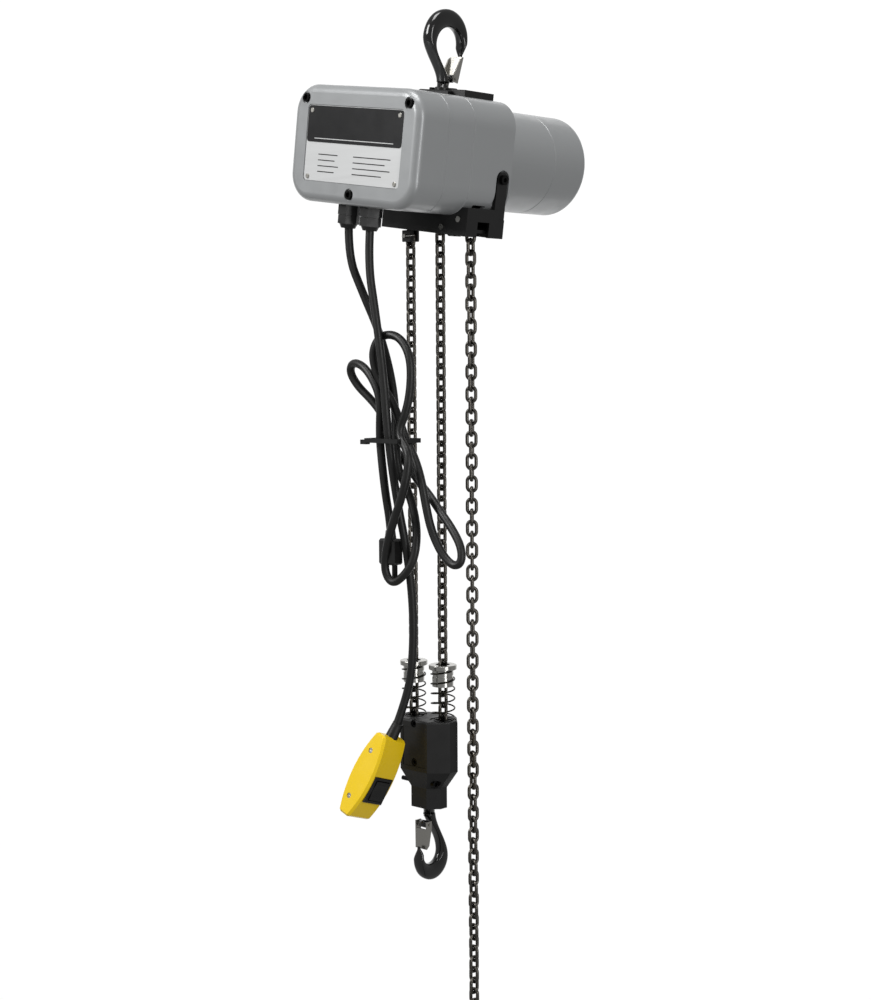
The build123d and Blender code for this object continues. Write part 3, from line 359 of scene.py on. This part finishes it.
def fall(name, x, z, last, stands_for, twist=0.0, step=-1):
    """Links 1 to last of a fall, a pitch apart from z and each a quarter turn from the one before."""
    base, quads = link_skin()
    verts, faces = [], []
    for i in range(1, last + 1):
        a = math.radians((90 if i % 2 == 0 else 0) + twist * i)
        faces.append(quads + len(base) * len(verts))
        verts.append(np.stack((base[:, 0] * math.cos(a) - base[:, 1] * math.sin(a) + x,
                               base[:, 0] * math.sin(a) + base[:, 1] * math.cos(a),
                               base[:, 2] + z + step * LINK_PITCH * i), 1))
    obj = mesh(name, MM * np.concatenate(verts), np.concatenate(faces), CHAIN_STEEL)
    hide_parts(stands_for)
    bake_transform(obj)
    return obj


fall("dead_chain", DEAD_X, IDLER_Z, 47, "chain_dead_fall", step=1)
fall("live_chain", LIVE_X, LOAD_SHEAVE_Z, 53, "chain_live_fall")
fall("slack_chain", SLACK_X, LOAD_SHEAVE_Z, 80, "chain_slack_fall", twist=1.2)
for side in ("dead", "live"):
    coil = bpy.data.objects.new(f"{side}_spring", NODES[f"spring_{side}_fall"].data.copy())
    bpy.context.collection.objects.link(coil)
    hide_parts(f"spring_{side}_fall")
    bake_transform(coil)


# ---- cords ----------------------------------------------------------------------------------
PENDANT_CORD = [(-38.3, -80, -201.6), (-44, -80, -245), (-33, -79, -305), (-24, -77, -370),
                (-21, -74, -437), (-17, -66, -500), (-14, -53, -560), (-13, -46, -620),
                (-18, -42.5, -675), (-27.5, -41.5, -717), (-38.6, -51.1, -755.2)]
# the power cord from its gland through the tie, round four loops, back to the tie and the plug
POWER_CORD = [(-71.6, -80, -196.9), (-76, -79, -238), (-61, -71, -280), (-46, -61, -322),
              (-36, -55, -365), (-29, -55, -402), (-27.5, -56.5, -437), (-24, -57, -470),
              (-15.7, -53, -485.9), (-4.4, -53, -510.2), (1.7, -54, -536.5), (-0.1, -57, -563.2),
              (-10.6, -61, -580.9), (-26.7, -64, -592.2), (-36.9, -66, -578.7),
              (-30.2, -70, -552.8), (-13.4, -75, -522.6), (3.9, -78, -493), (11.2, -77, -466.4),
              (10.4, -75, -447.8), (-10.5, -71, -430), (2.8, -69, -403.2), (7.9, -68, -375),
              (6.9, -68, -348.9), (-5.3, -67, -331), (-20.8, -68, -323.9), (-36.7, -71, -326.9),
              (-45, -73, -341.9), (-43, -72, -360.9), (-35.5, -67, -380), (-21.9, -63, -399.9),
              (-9, -59.5, -437), (4.5, -60, -454.3), (16.3, -62, -478.3), (22.3, -62, -504.4),
              (28, -60, -530.6), (40.9, -58, -554.4), (55.7, -56, -567), (66.1, -54, -562.6),
              (64.1, -52, -546.7), (49.6, -50, -529), (32.7, -49, -513.2), (12, -47, -493.5),
              (-4, -43.5, -484), (-24, -44, -462), (-38.5, -50.5, -444), (-39.5, -53.5, -425),
              (-56.2, -53, -404.5), (-66.9, -56, -392.9), (-82.2, -60, -379.4),
              (-90.4, -64, -363.9), (-81.2, -68, -353.8), (-64.3, -70, -356.5),
              (-48.2, -71, -369.5), (-34.8, -71, -392.3), (-41, -67.5, -430), (-37, -68, -462),
              (-34, -66, -495), (-33, -61.5, -520), (-32.5, -60.5, -533)]

pendant_cord = tube("pendant_cable", PENDANT_CORD, CORD_RADIUS, RUBBER)
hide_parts("pendant_cord")
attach(pendant_cord, "case")
power_cord = tube("power_cable", POWER_CORD, CORD_RADIUS, RUBBER)
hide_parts("power_cord", "power_cord_hank")
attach(power_cord, "case")


# ---- camera and light -----------------------------------------------------------------------
def camera():
    """The camera, aimed by its turn to the right, its dip and its roll."""
    dip, roll = math.radians(4.60), math.radians(-0.37)
    ahead = Vector((-math.sin(TURN) * math.cos(dip), math.cos(TURN) * math.cos(dip), -math.sin(dip)))
    right = ahead.cross(Vector((0, 0, 1))).normalized()
    up = right.cross(ahead)
    across = right * math.cos(roll) + up * math.sin(roll)
    upward = up * math.cos(roll) - right * math.sin(roll)
    data = bpy.data.cameras.new("camera")
    data.sensor_width = 36.0
    data.lens = 63.0
    data.clip_start = 0.05
    obj = bpy.data.objects.new("camera", data)
    bpy.context.collection.objects.link(obj)
    turned = Matrix((across, upward, -ahead)).transposed().to_4x4()
    obj.matrix_world = Matrix.Translation((1.304, -1.3745, -0.351)) @ turned
    bpy.context.scene.camera = obj


def area(name, place, size, power, aim=(0, 0, -0.45)):
    """A soft rectangular light at place, aimed at the hoist's middle."""
    data = bpy.data.lights.new(name, "AREA")
    data.shape = "RECTANGLE"
    data.size, data.size_y = size
    data.energy = power
    obj = bpy.data.objects.new(name, data)
    bpy.context.collection.objects.link(obj)
    obj.location = place
    obj.rotation_euler = (Vector(aim) - Vector(place)).to_track_quat("-Z", "Y").to_euler()


def surroundings():
    """A white studio: a lit white wall behind, soft light from the left, the right and above."""
    world = bpy.data.worlds.new("studio")
    bpy.context.scene.world = world
    world.use_nodes = True
    tree = world.node_tree
    back = tree.nodes["Background"]
    back.inputs["Color"].default_value = (1, 1, 1, 1)
    back.inputs["Strength"].default_value = 0.30
    area("key", (-1.2, -2.4, 1.2), (1.1, 1.6), 62)
    area("top", (0.3, -0.5, 1.9), (1.2, 1.2), 30)
    area("side", (2.4, -0.6, -0.3), (0.5, 2.2), 22)
    glow = bpy.data.materials.new("lit white wall")
    glow.use_nodes = True
    shader = glow.node_tree.nodes["Principled BSDF"]
    shader.inputs["Base Color"].default_value = (0, 0, 0, 1)
    shader.inputs["Emission Color"].default_value = (1, 1, 1, 1)
    shader.inputs["Emission Strength"].default_value = 1.0
    ahead, side = Vector((-math.sin(TURN), math.cos(TURN), 0)), Vector((math.cos(TURN), math.sin(TURN), 0))
    middle = ahead * 2.0 + Vector((0, 0, -0.5))
    corners = [middle + side * a + Vector((0, 0, b)) for a, b in ((-2, -2), (2, -2), (2, 2), (-2, 2))]
    mesh("wall", corners, [(0, 1, 2, 3)], glow, smooth=False)


camera()
surroundings()
bpy.context.scene.view_settings.view_transform = "Standard"


# ---- nameplate ------------------------------------------------------------------------------
# from the front cover's own millimetres, with x and z from the middle of the plate, to the frame
HANG = Matrix.Rotation(LEAN, 4, "Y") @ Matrix.Translation((-20.7 * MM, -105 * MM, -133 * MM))


def case_slab(name, x0, x1, z0, z1, y, thick, mat, corner=0.0):
    """A thin plate on the front cover, in the case's own millimetres, its corners rounded."""
    sx, sz = np.repeat((1, -1, -1, 1), 7), np.repeat((1, 1, -1, -1), 7)
    a = np.radians(np.repeat((0, 90, 180, 270), 7) + np.tile(15 * np.arange(7), 4))
    x = np.where(sx > 0, x1, x0) - sx * corner + corner * np.cos(a)
    z = np.where(sz > 0, z1, z0) - sz * corner + corner * np.sin(a)
    n = len(a)
    front = MM * np.stack((x, np.full(n, y), z), 1)
    back = MM * np.stack((x, np.full(n, y + thick), z), 1)
    hang = np.array(HANG)
    verts = np.concatenate((front, back)) @ hang[:3, :3].T + hang[:3, 3]
    faces = [list(range(n)), list(range(2 * n - 1, n - 1, -1))]
    faces += [[k, k + n, (k + 1) % n + n, (k + 1) % n] for k in range(n)]
    obj = mesh(name, verts, faces, mat, smooth=False)
    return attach(obj, "case")


case_slab("nameplate_dark_band", -72, 72, 1, 39, 0.55, 0.3, PLATE_DARK, 3.5)
case_slab("nameplate_rule", -60, 60, 4.5, 5.3, 0.4, 0.2, PLATE_LIGHT, 0.3)
for row, (z, x0, x1) in enumerate([(-12, -52, -22), (-12, 2, 58), (-18, -52, -26), (-18, 2, 50),
                                   (-24, -52, -20), (-24, 2, 58), (-30, -52, -26), (-30, 2, 46)]):
    case_slab(f"nameplate_line_{row}", x0, x1, z, z + 1.0, 0.7, 0.15, PLATE_DARK, 0.3)
